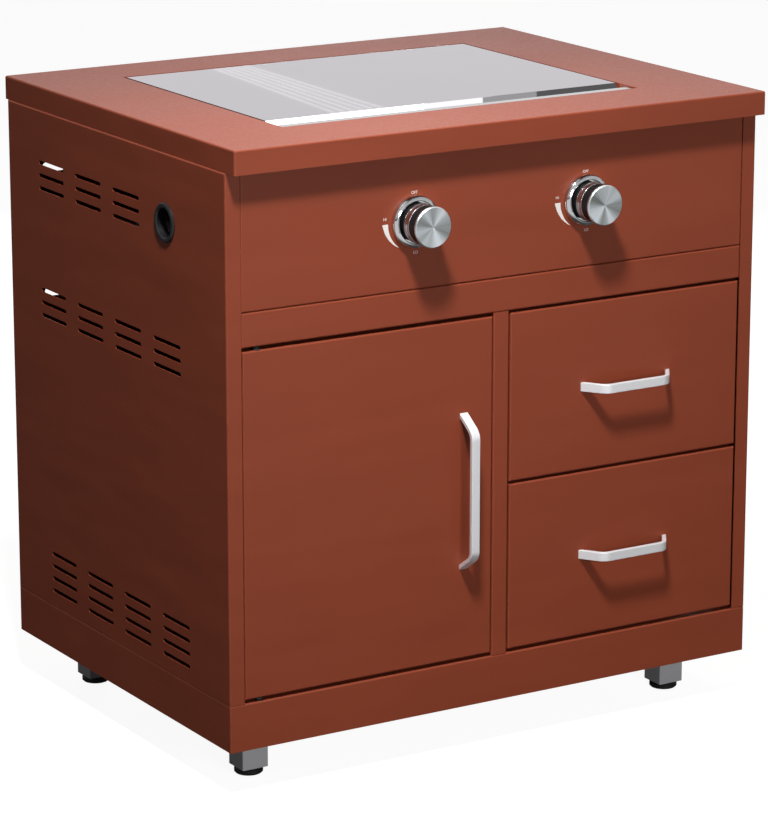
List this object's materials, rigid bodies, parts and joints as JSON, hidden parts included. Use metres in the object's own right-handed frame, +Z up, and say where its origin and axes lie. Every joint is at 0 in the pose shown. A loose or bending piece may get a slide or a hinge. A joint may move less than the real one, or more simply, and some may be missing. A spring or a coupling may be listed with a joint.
{
  "type": "outdoor gas stove",
  "caption": "Freestanding outdoor kitchen cabinet with a covered gas hob, front control knobs, a storage door, drawers and levelling feet.",
  "frame": {"origin": "on the floor, under the middle of the cabinet", "axes": "+X to the right seen from the front, +Y to the back, +Z up"},
  "size_m": [0.853, 0.693, 0.89],
  "materials": {
    "powder_coat": "textured terracotta powder coat on sheet steel",
    "polished_stainless": "bright polished stainless sheet",
    "zinc_coated_steel": "bare zinc-coated sheet",
    "satin_steel": "satin-brushed strap",
    "plated_steel": "plain plated steel",
    "blackened_steel": "steel with a black phosphate coat",
    "brass": "machined brass",
    "cast_aluminium": "as-cast aluminium",
    "enamelled_iron": "black enamel on cast iron",
    "white_ceramic": "unglazed white ceramic",
    "black_gas_pipe": "black painted steel tube",
    "black_plastic": "fine-grained moulded plastic",
    "black_knob_plastic": "smooth moulded plastic",
    "chrome_plate": "bright chrome plate",
    "spun_aluminium": "spun face with circular lines",
    "black_rubber": "plain rubber",
    "black_nylon": "black nylon",
    "grey_leg_paint": "grey paint on square tube"
  },
  "bodies": {
    "cabinet": {"back_panel": "powder_coat", "bottom_panel": "powder_coat", "burner_bases": "cast_aluminium", "burner_caps": "enamelled_iron", "centre_stile": "powder_coat", "control_panel": "powder_coat", "door_catch": "black_plastic", "door_pivot_pins": "blackened_steel", "fixed_runners": "zinc_coated_steel", "gas_inlet_fitting": "brass", "gas_manifold": "black_gas_pipe", "gas_valves": "brass", "heat_shield": "zinc_coated_steel", "hob_tray": "polished_stainless", "hose_grommet": "black_plastic", "igniter_electrodes": "white_ceramic", "knob_bezels": "chrome_plate", "left_side_panel": "powder_coat", "legs": "grey_leg_paint", "lid_bumpers": "black_rubber", "lid_hinge_pins": "plated_steel", "middle_rail": "powder_coat", "mixing_tubes": "cast_aluminium", "pan_supports": "enamelled_iron", "panel_screws": "plated_steel", "partition": "powder_coat", "plinth": "powder_coat", "right_side_panel": "powder_coat", "runner_brackets": "zinc_coated_steel", "worktop": "powder_coat"},
    "lid": {"lid": "polished_stainless"},
    "door": {"door_panel": "powder_coat", "door_liner": "powder_coat", "door_handle": "satin_steel", "door_handle_screws": "plated_steel", "door_pivot_bushes": "black_nylon"},
    "lower_drawer": {"lower_drawer_front": "powder_coat", "lower_drawer_handle": "satin_steel", "lower_drawer_screws": "plated_steel", "lower_drawer_box": "zinc_coated_steel", "lower_drawer_runners": "zinc_coated_steel"},
    "upper_drawer": {"upper_drawer_front": "powder_coat", "upper_drawer_handle": "satin_steel", "upper_drawer_screws": "plated_steel", "upper_drawer_box": "zinc_coated_steel", "upper_drawer_runners": "zinc_coated_steel"},
    "lower_middle": {"lower_middle_runners": "zinc_coated_steel"},
    "upper_middle": {"upper_middle_runners": "zinc_coated_steel"},
    "left_push": {"left_valve_collar": "brass"},
    "right_push": {"right_valve_collar": "brass"},
    "left_control": {"left_valve_stem": "plated_steel", "left_knob": "black_knob_plastic", "left_knob_face": "spun_aluminium"},
    "right_control": {"right_valve_stem": "plated_steel", "right_knob": "black_knob_plastic", "right_knob_face": "spun_aluminium"},
    "front_left_leveller": {"front_left_foot": "black_rubber"},
    "front_right_leveller": {"front_right_foot": "black_rubber"},
    "back_left_leveller": {"back_left_foot": "black_rubber"},
    "back_right_leveller": {"back_right_foot": "black_rubber"}
  },
  "joints": [
    {"name": "lid_hinge", "type": "hinge", "parent": "cabinet", "child": "lid", "pos_m": [0, 0.231, 0.8852], "axis": [-1, 0, 0], "range_deg": [0, 95]},
    {"name": "door_hinge", "type": "hinge", "parent": "cabinet", "child": "door", "pos_m": [-0.3774, -0.2905, 0.3775], "axis": [0, 0, -1], "range_deg": [0, 105]},
    {"name": "lower_drawer_slide", "type": "slide", "parent": "cabinet", "child": "lower_drawer", "axis": [0, -1, 0], "range_m": [0, 0.4]},
    {"name": "lower_runner_slide", "type": "slide", "parent": "cabinet", "child": "lower_middle", "axis": [0, -1, 0], "range_m": [0, 0.2]},
    {"name": "upper_drawer_slide", "type": "slide", "parent": "cabinet", "child": "upper_drawer", "axis": [0, -1, 0], "range_m": [0, 0.4]},
    {"name": "upper_runner_slide", "type": "slide", "parent": "cabinet", "child": "upper_middle", "axis": [0, -1, 0], "range_m": [0, 0.2]},
    {"name": "left_knob_push", "type": "slide", "parent": "cabinet", "child": "left_push", "axis": [0, 1, 0], "range_m": [0, 0.003], "stiffness_N_per_m": 800, "springref_m": -0.005},
    {"name": "left_knob_turn", "type": "hinge", "parent": "left_push", "child": "left_control", "pos_m": [-0.1375, -0.3215, 0.763], "axis": [0, -1, 0], "range_deg": [0, 180]},
    {"name": "right_knob_push", "type": "slide", "parent": "cabinet", "child": "right_push", "axis": [0, 1, 0], "range_m": [0, 0.003], "stiffness_N_per_m": 800, "springref_m": -0.005},
    {"name": "right_knob_turn", "type": "hinge", "parent": "right_push", "child": "right_control", "pos_m": [0.1375, -0.3215, 0.763], "axis": [0, -1, 0], "range_deg": [0, 180]},
    {"name": "front_left_foot_screw", "type": "slide", "parent": "cabinet", "child": "front_left_leveller", "axis": [0, 0, -1], "range_m": [0, 0.015]},
    {"name": "front_right_foot_screw", "type": "slide", "parent": "cabinet", "child": "front_right_leveller", "axis": [0, 0, -1], "range_m": [0, 0.015]},
    {"name": "back_left_foot_screw", "type": "slide", "parent": "cabinet", "child": "back_left_leveller", "axis": [0, 0, -1], "range_m": [0, 0.015]},
    {"name": "back_right_foot_screw", "type": "slide", "parent": "cabinet", "child": "back_right_leveller", "axis": [0, 0, -1], "range_m": [0, 0.015]}
  ],
  "couplings": [
    {"joint": "lower_runner_slide", "follows": "lower_drawer_slide", "ratio": 0.5},
    {"joint": "upper_runner_slide", "follows": "upper_drawer_slide", "ratio": 0.5}
  ]
}
